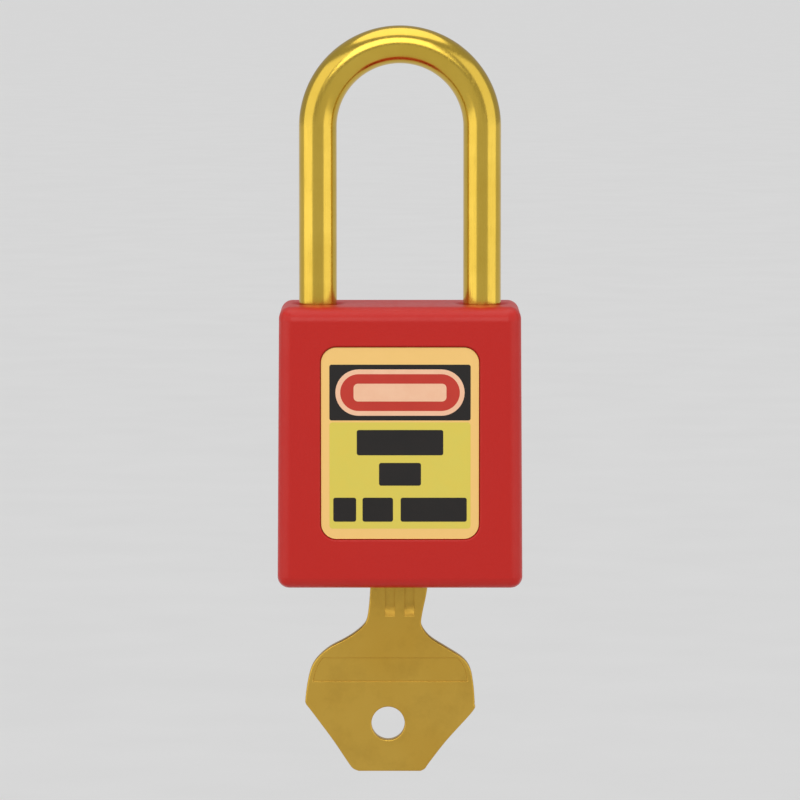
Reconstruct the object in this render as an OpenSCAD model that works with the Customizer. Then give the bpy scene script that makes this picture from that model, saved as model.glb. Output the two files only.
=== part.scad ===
// Safety padlock, closed, with its key in the plug.
// Millimetres, +X to the right, +Y to the back, +Z up.
// The origin is the underside of the shackle's crown, where the padlock hangs.
// Most shapes are first placed from the middle of the case's bottom edge, then moved by hung().

/* [Case] */
// width of the case along its top edge
case_top_w = 38.1; // [30:0.1:60]
// width of the case along its bottom edge
case_base_w = 38.7; // [30:0.1:60]
// height of the case
case_h = 44.45; // [35:0.05:70]
// depth of the case from front to back
case_d = 20; // [18:0.1:30]
// thickness of the moulded walls
case_wall = 2.5; // [1.5:0.1:4]
// radius of the corners seen from the front
case_corner_r = 1.8; // [0.5:0.1:4]
// radius of the upright edges
case_edge_r = 2.2; // [0.5:0.1:4]
// radius along the front and back of the top
case_brow_r = 2.4; // [0.5:0.1:4]

/* [Shackle] */
// diameter of the shackle's bar
bar_d = 6; // [4:0.1:10]
// distance between the middles of the two legs
leg_pitch = 26; // [20:0.1:40]
// height of the crown above the case
shackle_rise = 44; // [25:0.5:90]
// length of the toe inside the case
toe_depth = 9.5; // [7:0.1:14]
// lift of the shackle when the key opens it
shackle_lift = 10; // [8:0.1:16]
// depth of the notch for each pawl
notch_depth = 1.4; // [0.8:0.1:2]
// radius of the groove that lets the heel slide past its pin
heel_groove_r = 2.2; // [1.5:0.1:2.8]

/* [Labels] */
// width of each label
label_w = 25; // [15:0.1:34]
// height of each label
label_h = 30.4; // [15:0.1:40]
// gap between the case's top edge and the label
label_top_gap = 6.2; // [3:0.1:12]
// thickness of each label
label_t = 0.5; // [0.2:0.05:1]
// radius of the label's corners
label_r = 2.5; // [0.5:0.1:5]

/* [Cylinder] */
// radius of the plug
plug_r = 5.75; // [4:0.05:8]
// radius of the barrel that holds the plug
barrel_r = 7.2; // [5:0.05:9]
// height of the plug's face above the case's bottom edge
plug_face_z = 0.8; // [0:0.1:2]
// height of the first pin above the case's bottom edge
first_pin_z = 6.5; // [5:0.1:8]
// distance between neighbouring pins
pin_pitch = 3.4; // [3:0.05:4]
// radius of the pins
pin_r = 1.2; // [0.8:0.05:1.5]
// length of each driver pin
driver_l = 3.5; // [2:0.1:5]
// reach of the pin tower from the plug's axis
tower_x = 14.6; // [10:0.1:16]
// half of the pin tower's depth
tower_y = 3.5; // [2:0.1:5]

/* [Cam and pawls] */
// radius of the scroll cam
cam_r = 7.2; // [5:0.1:9]
// distance from the axis to a drive pin, locked
scroll_r = 5.7; // [4:0.1:7]
// travel of each pawl in a quarter turn
pawl_travel = 4.3; // [2:0.1:5]
// radius of the pawls' drive pins
drive_pin_r = 0.8; // [0.5:0.05:1.2]
// height of the pawls' underside above the case's bottom edge
pawl_z = 37.3; // [30:0.1:50]
// thickness of the pawls
pawl_t = 3; // [2:0.1:5]
// width of the pawls from front to back
pawl_w = 5; // [3:0.1:7]

/* [Key] */
// thickness of the key
key_t = 2.1; // [1.5:0.05:3]
// width of the blade inside the plug
blade_w = 8; // [6:0.1:9]
// height of the blade's tip above the case's bottom edge
blade_tip_z = 26.2; // [20:0.1:35]
// radius of the ring hole
ring_hole_r = 2.65; // [1.5:0.1:4]
// width of each milled groove
groove_w = 1.6; // [1:0.1:2]
// depth of each milled groove
groove_depth = 0.55; // [0.3:0.05:0.8]

/* [Fits] */
// gap round a piece that slides
slide_gap = 0.1; // [0.05:0.01:0.2]
// gap round a piece that turns
turn_gap = 0.05; // [0.02:0.01:0.1]
// gap round a piece that is driven home
seat_gap = 0.02; // [0.01:0.01:0.05]

/* [Hidden] */
fine = 72;
small = 32;
over = 1;
bar_r = bar_d / 2;
leg_x = leg_pitch / 2;
hang_z = case_h + shackle_rise - bar_d;
bow_z = hang_z - leg_x + bar_r;
cavity_w = case_top_w - 2 * case_wall;
cavity_d = case_d - 2 * case_wall;
cavity_top = case_h - case_wall;
cover_t = 2.5;
frame_w = cavity_w - 2 * slide_gap;
frame_d = cavity_d - 2 * turn_gap;
frame_base = cover_t + slide_gap;
frame_top = cavity_top - slide_gap;
barrel_base = 3;
barrel_top = 25.5;
well_top = 27.2;
cam_base = 32.6;
cam_t = 3.2;
cam_top = cam_base + cam_t;
scroll_depth = 1.4;
drive_square = 4;
drive_square_h = 1.4;
notch_x = leg_x - bar_r + notch_depth;
nose_x = notch_x - slide_gap;
notch_low = pawl_z - 2 * slide_gap;
notch_high = pawl_z + pawl_t + 2 * slide_gap;
notch_slope = pawl_travel / shackle_lift;
toe_z = case_h - toe_depth;
heel_z = 10;
foot_top = 13.5;
heel_pin_r = 1.2;
heel_pin_x = leg_x - heel_groove_r - heel_pin_r - slide_gap;
heel_pin_z = foot_top + shackle_lift + heel_pin_r + 3 * slide_gap;
groove_top = heel_pin_z + heel_pin_r + 0.6;
spring_floor = 3.6;
label_z = case_h - label_top_gap - label_h / 2;
recess_depth = label_t + slide_gap;
driver_x = plug_r + slide_gap;
spring_x = driver_x + driver_l + turn_gap;
strip_t = 0.5;
strip_w = 4;
strip_base = 4.2;
strip_h = 20.8;
spring_end_x = tower_x - strip_t - seat_gap;
key_pin_end_x = plug_r - 0.17;
rivet_x = 14;
rivet_y = 5.3;
rivet_r = 0.9;
rivet_head_r = 1.5;
rivet_head_t = 0.6;
rivet_top = 8;
drain_x = 9.4;
drain_r = 0.7;
drain_l = 4.6;
dish_below = 0.4;
dish_t = 0.9;
mouth_chamfer = 0.9;
toe_chamfer = 0.8;
toe_well_gap = 0.5;
barrel_window_w = 10;
cam_window_w = 11;
housing_pin_r = 1;
housing_pin_x = -barrel_r - 0.4;
housing_pin_z = 14;
flange_r = 6.4;
flange_top = cover_t + slide_gap + 0.9;
clip_inner_r = 5;
clip_outer_r = 6.5;
clip_t = 0.7;
clip_groove_t = 0.8;
clip_gap_w = 8;
pin_cone = 0.7;
pin_clearance = 0.6;
tail_past = 0.3;
// quarter turn of the key, and the steps that draw a scroll slot
key_turn = 90;
slot_step = 5;
round_step = 15;
// middle radius, wire radius, turns, steps in a turn and sides of the wire
heel_coil_r = 2.3;
heel_wire_r = 0.4;
heel_turns = 6;
heel_steps = 18;
heel_sides = 8;
pin_coil_r = 0.95;
pin_wire_r = 0.16;
pin_turns = 7;
pin_steps = 14;
pin_sides = 6;
// heights of the key's steps, from the bow to the tip
cuts = [3.2, 2.8, 2.4, 2, 1.6, 1.2];
pin_count = 6;
groove_front_x = [-1.6, 1.5];
groove_back_x = -0.05;
// key below the case: depth, reach to the left, reach to the right
bow_rows = [
    [-0.7, 4.7, 4.5], [1, 4.75, 4.35], [2.7, 4.85, 4.05], [4.3, 5, 3.7], [6, 5.3, 3.4],
    [7, 5.9, 3.45], [8.2, 7.3, 4.2], [9.2, 8.9, 5.3], [10.5, 11.3, 7.4], [12.2, 13.2, 10],
    [13.9, 14.2, 11.2], [16.4, 14.8, 11.7], [18.8, 15.1, 11.9], [19.6, 15, 11.9], [20.8, 14.1, 11.6],
    [25.4, 10.7, 7.5], [29, 8.3, 4.7], [30, 7.5, 4], [30.4, 6.6, 3.3]
];
ring_hole_x = -1.9;
ring_hole_z = -22.7;
bow_step = 0.25;
// corners of the blade
tip_slope = 1.8;
tip_left = -2.2;
tip_right = -0.6;
flat_below = 1;
flat_gap = 1.5;
root_gap = 2.2;
// run of the key's grooves below the case
groove_run = 5;

// moves a shape from the case's bottom edge to the hanging point
module hung() {
    translate([0, 0, -hang_z]) children();
}

// box centred on X and Y, from one height to another
module slab(w, d, low, high) {
    translate([-w / 2, -d / 2, low]) cube([w, d, high - low]);
}

// flat shape with two lower corner radii and two upper ones, standing on zero
module soft_box(w, h, r_low, r_high) {
    translate([-w / 2, r_low]) square([w, h - r_low - r_high]);
    translate([-w / 2 + r_low, 0]) square([w - 2 * r_low, r_low + over]);
    translate([-w / 2 + r_high, h - r_high - over]) square([w - 2 * r_high, r_high + over]);
    for (side = [-1, 1]) {
        translate([side * (w / 2 - r_low), r_low]) circle(r = r_low, $fn = small);
        translate([side * (w / 2 - r_high), h - r_high]) circle(r = r_high, $fn = small);
    }
}

// flat outline of the case seen from the front, a little wider at its foot
module case_outline() {
    lean = atan((case_base_w - case_top_w) / 2 / case_h);
    low_x = case_base_w / 2 - case_corner_r * (1 + sin(lean)) / cos(lean);
    high_x = case_top_w / 2 - case_corner_r * (1 - sin(lean)) / cos(lean);
    out = case_corner_r * cos(lean);
    up = case_corner_r * sin(lean);
    low_z = case_corner_r;
    high_z = case_h - case_corner_r;
    polygon([
        [-low_x, 0], [low_x, 0], [low_x + out, low_z + up], [high_x + out, high_z + up],
        [high_x, case_h], [-high_x, case_h], [-high_x - out, high_z + up], [-low_x - out, low_z + up]
    ]);
    for (side = [-1, 1]) {
        translate([side * low_x, low_z]) circle(r = case_corner_r, $fn = small);
        translate([side * high_x, high_z]) circle(r = case_corner_r, $fn = small);
    }
}

// rectangle with rounded corners, centred on zero
module round_rect(w, h, r) {
    translate([0, -h / 2]) soft_box(w, h, r, r);
}

// solid case before it is hollowed
module case_block() {
    intersection() {
        translate([0, case_d / 2, 0]) rotate([90, 0, 0]) linear_extrude(case_d) case_outline();
        linear_extrude(case_h) round_rect(case_base_w, case_d, case_edge_r);
        translate([-case_base_w / 2, 0, 0]) rotate([90, 0, 90]) linear_extrude(case_base_w)
            soft_box(case_d, case_h, case_corner_r, case_brow_r);
    }
}

// label-shaped block whose outer face is at a distance in front of the middle
module label_block(w, h, r, inner, outer) {
    translate([0, -inner, label_z]) rotate([90, 0, 0]) linear_extrude(outer - inner) round_rect(w, h, r);
}

// moulded case, open at the bottom
module case_shell() {
    color([0.7, 0.15, 0.13]) hung() difference() {
        case_block();
        slab(cavity_w, cavity_d, -over, cavity_top);
        for (side = [-1, 1]) {
            translate([side * leg_x, 0, cavity_top - over])
                cylinder(h = case_wall + 2 * over, r = bar_r + 2 * slide_gap, $fn = fine);
            translate([side * leg_x, 0, case_h - mouth_chamfer]) cylinder(
                h = 2 * mouth_chamfer, r1 = bar_r + 2 * slide_gap,
                r2 = bar_r + 2 * slide_gap + 2 * mouth_chamfer, $fn = fine
            );
        }
        label_block(label_w, label_h, label_r, case_d / 2 - recess_depth, case_d / 2 + over);
        mirror([0, 1, 0])
            label_block(label_w, label_h, label_r, case_d / 2 - recess_depth, case_d / 2 + over);
    }
}

// plate that closes the bottom round the plug
module bottom_cover() {
    color([0.16, 0.16, 0.17]) hung() difference() {
        slab(cavity_w - 2 * slide_gap, cavity_d - 2 * slide_gap, 0, cover_t);
        translate([0, 0, -over]) cylinder(h = cover_t + 2 * over, r = plug_r + slide_gap, $fn = fine);
        translate([0, 0, -dish_below])
            cylinder(h = dish_t, r1 = plug_r + dish_t, r2 = plug_r + slide_gap, $fn = fine);
        for (x = [-rivet_x, rivet_x], y = [-rivet_y, rivet_y]) {
            translate([x, y, -over]) cylinder(h = cover_t + 2 * over, r = rivet_r + seat_gap, $fn = small);
            translate([x, y, -over])
                cylinder(h = rivet_head_t + over + seat_gap, r = rivet_head_r + turn_gap, $fn = small);
        }
        for (side = [-1, 1]) {
            slab_at = side * drain_x;
            translate([slab_at, 0, 0]) slab(2 * drain_r, drain_l, -over, cover_t + over);
            for (end = [-1, 1]) {
                translate([slab_at, end * drain_l / 2, -over])
                    cylinder(h = cover_t + 2 * over, r = drain_r, $fn = small);
            }
        }
    }
}

// four rivets that hold the cover to the frame
module cover_rivets() {
    color([0.75, 0.76, 0.78]) hung()
        for (x = [-rivet_x, rivet_x], y = [-rivet_y, rivet_y]) {
            translate([x, y, 0]) {
                cylinder(h = rivet_top, r = rivet_r, $fn = small);
                cylinder(h = rivet_head_t, r = rivet_head_r, $fn = small);
            }
        }
}

// printed plate in the front recess
module front_label() {
    color([0.93, 0.82, 0.42]) hung()
        label_block(label_w - 4 * turn_gap, label_h - 4 * turn_gap, label_r - turn_gap,
            case_d / 2 - recess_depth, case_d / 2 - slide_gap);
}

// printed plate in the back recess
module back_label() {
    color([0.93, 0.82, 0.42]) hung() mirror([0, 1, 0])
        label_block(label_w - 4 * turn_gap, label_h - 4 * turn_gap, label_r - turn_gap,
            case_d / 2 - recess_depth, case_d / 2 - slide_gap);
}

// round rod through the padlock from front to back
module cross_rod(x, z, r, l) {
    translate([x, l / 2, z]) rotate([90, 0, 0]) cylinder(h = l, r = r, $fn = small);
}

// outline of the barrel and its pin tower seen from below
module barrel_plan(gap) {
    circle(r = barrel_r + gap, $fn = fine);
    translate([0, -tower_y - gap]) square([tower_x + gap, 2 * (tower_y + gap)]);
}

// cast frame that guides the shackle and the pawls and holds the cylinder
module lock_frame() {
    color([0.62, 0.63, 0.65]) hung() difference() {
        slab(frame_w, frame_d, frame_base, frame_top);
        translate([0, 0, frame_base - over])
            linear_extrude(well_top - frame_base + over) barrel_plan(turn_gap);
        slab(barrel_window_w, case_d, frame_base - over, well_top);
        translate([0, 0, well_top - over])
            cylinder(h = cam_base - well_top + 2 * over, r = bar_r + turn_gap, $fn = fine);
        translate([0, 0, cam_base - slide_gap])
            cylinder(h = cam_t + 2 * slide_gap, r = cam_r + slide_gap, $fn = fine);
        slab(cam_window_w, case_d, cam_base - slide_gap, cam_top + slide_gap);
        slab(
            2 * (scroll_r + drive_pin_r + 2 * slide_gap), 2 * (drive_pin_r + slide_gap), cam_top, pawl_z + over
        );
        slab(2 * leg_x, pawl_w + 2 * slide_gap, pawl_z - slide_gap, pawl_z + pawl_t + slide_gap);
        translate([-leg_x, 0, spring_floor])
            cylinder(h = frame_top - spring_floor + over, r = bar_r + slide_gap, $fn = fine);
        translate([leg_x, 0, toe_z - toe_well_gap])
            cylinder(h = frame_top - toe_z + toe_well_gap + over, r = bar_r + slide_gap, $fn = fine);
        cross_rod(-heel_pin_x, heel_pin_z, heel_pin_r + seat_gap, case_d);
        cross_rod(housing_pin_x, housing_pin_z, housing_pin_r + seat_gap, case_d);
        for (x = [-rivet_x, rivet_x], y = [-rivet_y, rivet_y]) {
            translate([x, y, frame_base - over])
                cylinder(h = rivet_top - frame_base + over + slide_gap, r = rivet_r + seat_gap, $fn = small);
        }
    }
}

// bore along X for one pin stack
module chamber(z) {
    translate([plug_r - over, 0, z]) rotate([0, 90, 0])
        cylinder(h = tower_x - plug_r + 2 * over, r = pin_r + turn_gap, $fn = small);
}

// fixed body of the lock cylinder
module cylinder_housing() {
    color([0.8, 0.66, 0.36]) hung() difference() {
        translate([0, 0, barrel_base]) linear_extrude(barrel_top - barrel_base) barrel_plan(0);
        translate([0, 0, barrel_base - over])
            cylinder(h = barrel_top - barrel_base + 2 * over, r = plug_r + turn_gap, $fn = fine);
        translate([0, 0, barrel_base - over])
            cylinder(h = over + flange_top + slide_gap - barrel_base, r = flange_r + slide_gap, $fn = fine);
        for (i = [0:pin_count - 1]) chamber(first_pin_z + i * pin_pitch);
        translate([tower_x - strip_t, -strip_w / 2, strip_base]) cube([strip_t + over, strip_w, strip_h]);
        cross_rod(housing_pin_x, housing_pin_z, housing_pin_r + turn_gap, case_d);
    }
}

// dowel that keeps the cylinder from sliding down out of the frame
module housing_pin() {
    color([0.7, 0.71, 0.73]) hung()
        cross_rod(housing_pin_x, housing_pin_z, housing_pin_r, frame_d - 4 * slide_gap);
}

// strip that closes the outer ends of the pin chambers
module chamber_strip() {
    color([0.78, 0.64, 0.34]) hung()
        translate([tower_x - strip_t + seat_gap, -strip_w / 2 + seat_gap, strip_base + seat_gap])
            cube([strip_t - seat_gap, strip_w - 2 * seat_gap, strip_h - 2 * seat_gap]);
}

// dowel that stops the heel at the top of its lift
module heel_pin() {
    color([0.7, 0.71, 0.73]) hung() cross_rod(-heel_pin_x, heel_pin_z, heel_pin_r, frame_d - 4 * slide_gap);
}

// wedge-sided block that cuts the pawl's notch in the leg on the right
module leg_notch() {
    run = notch_depth / notch_slope;
    inner = leg_x - bar_r;
    translate([0, bar_d, 0]) rotate([90, 0, 0]) linear_extrude(2 * bar_d) polygon([
        [inner - over, notch_low - run - over / notch_slope], [notch_x, notch_low], [notch_x, notch_high],
        [inner - over, notch_high + notch_depth + over]
    ]);
}

// hardened bar with a long heel and a short toe
module shackle() {
    color([0.8, 0.68, 0.36]) hung() difference() {
        union() {
            translate([0, 0, bow_z]) rotate([90, 0, 0]) rotate_extrude(angle = 180, $fn = fine)
                translate([leg_x, 0]) circle(r = bar_r, $fn = fine);
            translate([leg_x, 0, toe_z + toe_chamfer])
                cylinder(h = bow_z - toe_z - toe_chamfer, r = bar_r, $fn = fine);
            translate([leg_x, 0, toe_z])
                cylinder(h = toe_chamfer, r1 = bar_r - toe_chamfer, r2 = bar_r, $fn = fine);
            translate([-leg_x, 0, groove_top]) cylinder(h = bow_z - groove_top, r = bar_r, $fn = fine);
            translate([-leg_x, 0, heel_z]) cylinder(h = bow_z - heel_z, r = heel_groove_r, $fn = fine);
            translate([-leg_x, 0, heel_z]) cylinder(h = foot_top - heel_z, r = bar_r, $fn = fine);
        }
        leg_notch();
        mirror([1, 0, 0]) leg_notch();
    }
}

// point on a coiled wire: step along the wire and angle round the wire
function coil_point(r, wire, l, turns, share, a) = [
    (r + wire * cos(a)) * cos(360 * turns * share),
    (r + wire * cos(a)) * sin(360 * turns * share),
    wire + (l - 2 * wire) * share + wire * sin(a)
];

// open coil of round wire, standing on zero
module coil(r, wire, l, turns, steps, sides) {
    count = turns * steps;
    pts = [for (i = [0:count], j = [0:sides - 1]) coil_point(r, wire, l, turns, i / count, 360 * j / sides)];
    walls = [for (i = [0:count - 1], j = [0:sides - 1], half = [0, 1])
        half == 0
            ? [i * sides + j, i * sides + (j + 1) % sides, (i + 1) * sides + j]
            : [i * sides + (j + 1) % sides, (i + 1) * sides + (j + 1) % sides, (i + 1) * sides + j]
    ];
    start = [[for (j = [0:sides - 1]) sides - 1 - j]];
    finish = [[for (j = [0:sides - 1]) count * sides + j]];
    polyhedron(points = pts, faces = concat(walls, start, finish));
}

// spring that pushes the opened shackle up
module shackle_spring() {
    color([0.72, 0.73, 0.75]) hung() translate([-leg_x, 0, spring_floor + turn_gap])
        coil(
            heel_coil_r, heel_wire_r, heel_z - spring_floor - 2 * turn_gap, heel_turns, heel_steps, heel_sides
        );
}

// step on one side of the keyway that fits a groove in the key
module ward(x, face) {
    w = groove_w - 4 * turn_gap;
    d = groove_depth - slide_gap;
    translate([x - w / 2, face > 0 ? key_t / 2 + turn_gap - d : -key_t / 2 - turn_gap, 0])
        cube([w, d, blade_tip_z + over]);
}

// slot for the blade, with its wards left standing
module keyway() {
    difference() {
        translate([-blade_w / 2 - slide_gap, -key_t / 2 - turn_gap, plug_face_z - over])
            cube([
                blade_w + 2 * slide_gap, key_t + 2 * turn_gap,
                blade_tip_z - plug_face_z + over + 2 * slide_gap
            ]);
        for (x = groove_front_x) ward(x, -1);
        ward(groove_back_x, 1);
    }
}

// turning core with its keyway, clip groove and square drive
module plug() {
    color([0.84, 0.7, 0.4]) hung() difference() {
        union() {
            translate([0, 0, plug_face_z])
                cylinder(h = well_top - 2 * slide_gap - plug_face_z, r = plug_r, $fn = fine);
            translate([0, 0, cover_t + slide_gap])
                cylinder(h = flange_top - cover_t - slide_gap, r = flange_r, $fn = fine);
            translate([0, 0, well_top - over])
                cylinder(h = cam_base - well_top + over, r = bar_r, $fn = fine);
            slab(drive_square, drive_square, cam_base - over, cam_base + drive_square_h - seat_gap);
        }
        keyway();
        for (i = [0:pin_count - 1]) {
            translate([cuts[i] - pin_clearance, 0, first_pin_z + i * pin_pitch]) rotate([0, 90, 0])
                cylinder(h = plug_r + over, r = pin_r + turn_gap, $fn = small);
        }
        translate([0, 0, barrel_top + slide_gap]) difference() {
            cylinder(h = clip_groove_t, r = barrel_r, $fn = fine);
            translate([0, 0, -over]) cylinder(h = 3 * over, r = clip_inner_r, $fn = fine);
        }
    }
}

// open ring that keeps the plug in the barrel
module plug_clip() {
    color([0.7, 0.71, 0.73]) hung() translate([0, 0, barrel_top + slide_gap + turn_gap]) difference() {
        cylinder(h = clip_t, r = clip_outer_r, $fn = fine);
        translate([0, 0, -over]) cylinder(h = 3 * over, r = clip_inner_r + seat_gap, $fn = fine);
        translate([0, -clip_gap_w / 2, -over]) cube([clip_outer_r + over, clip_gap_w, 3 * over]);
    }
}

// distance of a scroll slot's middle line from the axis at an angle of key turn
function scroll_reach(turn) = scroll_r - pawl_travel * turn / key_turn;

// direction square to a scroll slot's middle line
function scroll_side(turn) =
    let (
        fall = -pawl_travel / key_turn * 180 / PI,
        along = [
            fall * cos(turn) - scroll_reach(turn) * sin(turn),
            -fall * sin(turn) - scroll_reach(turn) * cos(turn)
        ]
    ) [-along[1], along[0]] / norm(along);

// point beside a scroll slot's middle line
function scroll_point(turn, side) =
    scroll_reach(turn) * [cos(turn), -sin(turn)] + side * scroll_side(turn);

// point on the round end of a scroll slot
function scroll_end(turn, spin, half) =
    scroll_point(turn, half * cos(spin)) + half * sin(spin) * [scroll_side(turn)[1], -scroll_side(turn)[0]];

// flat shape of one scroll slot
module scroll_slot() {
    half = drive_pin_r + slide_gap;
    polygon(concat(
        [for (turn = [0:slot_step:key_turn]) scroll_point(turn, half)],
        [for (spin = [round_step:round_step:180 - round_step]) scroll_end(key_turn, spin, half)],
        [for (turn = [key_turn:-slot_step:0]) scroll_point(turn, -half)],
        [for (spin = [180 + round_step:round_step:360 - round_step]) scroll_end(0, spin, half)]
    ));
}

// disc whose two spiral slots draw the pawls in
module scroll_cam() {
    color([0.58, 0.59, 0.61]) hung() difference() {
        translate([0, 0, cam_base]) cylinder(h = cam_t, r = cam_r, $fn = fine);
        slab(
            drive_square + 2 * seat_gap, drive_square + 2 * seat_gap,
            cam_base - over, cam_base + drive_square_h
        );
        for (half = [0, 180]) {
            translate([0, 0, cam_top - scroll_depth]) rotate([0, 0, half]) linear_extrude(scroll_depth + over)
                scroll_slot();
        }
    }
}

// sliding bolt on the right with its drive pin below
module pawl() {
    tail_x = scroll_r - drive_pin_r - tail_past;
    translate([tail_x, -pawl_w / 2, pawl_z]) cube([nose_x - tail_x, pawl_w, pawl_t]);
    translate([scroll_r, 0, cam_top - scroll_depth + 2 * slide_gap])
        cylinder(h = pawl_z - cam_top + scroll_depth, r = drive_pin_r, $fn = small);
}

// pawl that holds the toe
module toe_pawl() {
    color([0.66, 0.67, 0.7]) hung() pawl();
}

// pawl that holds the heel
module heel_pawl() {
    color([0.66, 0.67, 0.7]) hung() rotate([0, 0, 180]) pawl();
}

// smooth curve between the second and third of four values
function blend(a, b, c, d, t) =
    0.5 * (2 * b + (c - a) * t + (2 * a - 5 * b + 4 * c - d) * t * t + (3 * b - a - 3 * c + d) * t * t * t);

// outline row at a position counted in rows
function bow_row(s) =
    let (last = len(bow_rows) - 1, i = min(floor(s), last - 1), t = s - i)
    blend(bow_rows[max(i - 1, 0)], bow_rows[i], bow_rows[i + 1], bow_rows[min(i + 2, last)], t);

// flat shape of the key: its bow and neck, then its blade stepped down towards the tip
module key_outline() {
    rows = [for (s = [0:bow_step:len(bow_rows) - 1]) bow_row(s)];
    shoulder_z = -bow_rows[0][0];
    polygon(concat(
        [for (row = rows) [row[2], -row[0]]],
        [for (i = [len(rows) - 1:-1:0]) [-rows[i][1], -rows[i][0]]],
        [[-blade_w / 2, shoulder_z], [-blade_w / 2, blade_tip_z - tip_slope]],
        [[tip_left, blade_tip_z], [tip_right, blade_tip_z]],
        [for (i = [pin_count - 1:-1:0], end = [pin_pitch - flat_gap, -flat_below])
            [cuts[i], first_pin_z + i * pin_pitch + end]],
        [[blade_w / 2 - slide_gap, first_pin_z - root_gap], [blade_w / 2 - slide_gap, shoulder_z]]
    ));
}

// key, cut from plate, with milled grooves along its blade
module key() {
    color([0.72, 0.58, 0.3]) hung() difference() {
        translate([0, key_t / 2, 0]) rotate([90, 0, 0]) linear_extrude(key_t) key_outline();
        translate([ring_hole_x, 0, ring_hole_z]) rotate([90, 0, 0])
            cylinder(h = 2 * key_t, r = ring_hole_r, center = true, $fn = fine);
        for (x = groove_front_x) {
            translate([x - groove_w / 2, -key_t / 2 - over, -groove_run])
                cube([groove_w, groove_depth + over, blade_tip_z + 2 * groove_run]);
        }
        translate([groove_back_x - groove_w / 2, key_t / 2 - groove_depth, -groove_run])
            cube([groove_w, groove_depth + over, blade_tip_z + 2 * groove_run]);
    }
}

// pin that rests on one step of the key
module key_pin(i) {
    tip = cuts[i] + turn_gap;
    color([0.86, 0.74, 0.46]) hung() translate([tip, 0, first_pin_z + i * pin_pitch]) rotate([0, 90, 0]) {
        cylinder(h = pin_cone, r1 = pin_r - pin_cone, r2 = pin_r, $fn = small);
        translate([0, 0, pin_cone]) cylinder(h = key_pin_end_x - tip - pin_cone, r = pin_r, $fn = small);
    }
}

// pin that locks the plug when the key is out
module driver_pin(i) {
    color([0.75, 0.76, 0.78]) hung() translate([driver_x, 0, first_pin_z + i * pin_pitch]) rotate([0, 90, 0])
        cylinder(h = driver_l, r = pin_r, $fn = small);
}

// spring behind one driver pin
module driver_spring(i) {
    color([0.8, 0.8, 0.82]) hung() translate([spring_x, 0, first_pin_z + i * pin_pitch]) rotate([0, 90, 0])
        coil(pin_coil_r, pin_wire_r, spring_end_x - spring_x, pin_turns, pin_steps, pin_sides);
}

case_shell();
bottom_cover();
cover_rivets();
front_label();
back_label();
lock_frame();
cylinder_housing();
housing_pin();
chamber_strip();
heel_pin();
shackle();
shackle_spring();
plug();
plug_clip();
scroll_cam();
heel_pawl();
toe_pawl();
key();
key_pin(0);  // key_pin_1
key_pin(1);  // key_pin_2
key_pin(2);  // key_pin_3
key_pin(3);  // key_pin_4
key_pin(4);  // key_pin_5
key_pin(5);  // key_pin_6
driver_pin(0);  // driver_pin_1
driver_pin(1);  // driver_pin_2
driver_pin(2);  // driver_pin_3
driver_pin(3);  // driver_pin_4
driver_pin(4);  // driver_pin_5
driver_pin(5);  // driver_pin_6
driver_spring(0);  // driver_spring_1
driver_spring(1);  // driver_spring_2
driver_spring(2);  // driver_spring_3
driver_spring(3);  // driver_spring_4
driver_spring(4);  // driver_spring_5
driver_spring(5);  // driver_spring_6
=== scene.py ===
import math

import bmesh
import bpy
from mathutils import Matrix, Vector


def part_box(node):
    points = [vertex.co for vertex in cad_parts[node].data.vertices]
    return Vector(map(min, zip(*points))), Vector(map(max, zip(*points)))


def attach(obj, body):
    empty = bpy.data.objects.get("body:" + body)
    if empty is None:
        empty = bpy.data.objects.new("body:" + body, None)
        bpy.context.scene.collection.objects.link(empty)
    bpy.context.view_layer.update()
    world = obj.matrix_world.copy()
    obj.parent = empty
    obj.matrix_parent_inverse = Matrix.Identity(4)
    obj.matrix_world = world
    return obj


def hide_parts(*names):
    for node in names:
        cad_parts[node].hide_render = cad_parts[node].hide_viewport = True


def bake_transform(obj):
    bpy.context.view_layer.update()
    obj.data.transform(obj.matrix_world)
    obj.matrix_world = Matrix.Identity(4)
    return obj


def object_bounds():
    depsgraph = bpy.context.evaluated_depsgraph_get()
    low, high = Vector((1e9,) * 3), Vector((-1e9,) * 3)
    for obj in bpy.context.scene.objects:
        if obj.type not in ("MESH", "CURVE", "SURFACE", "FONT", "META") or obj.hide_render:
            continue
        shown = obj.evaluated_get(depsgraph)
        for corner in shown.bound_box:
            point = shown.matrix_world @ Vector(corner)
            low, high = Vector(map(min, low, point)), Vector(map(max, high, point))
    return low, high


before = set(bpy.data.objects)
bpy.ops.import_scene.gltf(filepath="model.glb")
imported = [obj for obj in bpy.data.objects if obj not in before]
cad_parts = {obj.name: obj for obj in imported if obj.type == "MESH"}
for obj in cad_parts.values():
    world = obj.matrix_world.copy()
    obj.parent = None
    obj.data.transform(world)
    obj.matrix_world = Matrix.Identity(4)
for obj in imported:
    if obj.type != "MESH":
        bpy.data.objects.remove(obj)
cad_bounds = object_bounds()

# ---------------------------------------------------------------- sizes
# Shapes are built in millimetres from the middle of the case's bottom edge.
# to_frame() puts them in the row frame.
shell_low, shell_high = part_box("case_shell")
label_low, label_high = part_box("front_label")
cover_low, cover_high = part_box("bottom_cover")
key_low, key_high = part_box("key")
shackle_low, shackle_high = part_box("shackle")
BASE = shell_low.z


def mm(length):
    return length * 1000


def height(z):
    """Height above the case's bottom edge, in millimetres, of a row-frame z."""
    return mm(z - BASE)


CASE_W = mm(shell_high.x - shell_low.x)
TAPER = 0.6
CASE_TOP_W = CASE_W - TAPER
CASE_H = height(shell_high.z)
CASE_D = mm(shell_high.y - shell_low.y)
WALL = 2.5
BAR_R = mm(shackle_high.y)
LEG_X = mm(shackle_high.x) - BAR_R
BOW_Z = height(shackle_high.z) - LEG_X - BAR_R
HEEL_Z = height(shackle_low.z)
KEY_T = mm(key_high.y - key_low.y)
SAME_POINT = 1e-6


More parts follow.
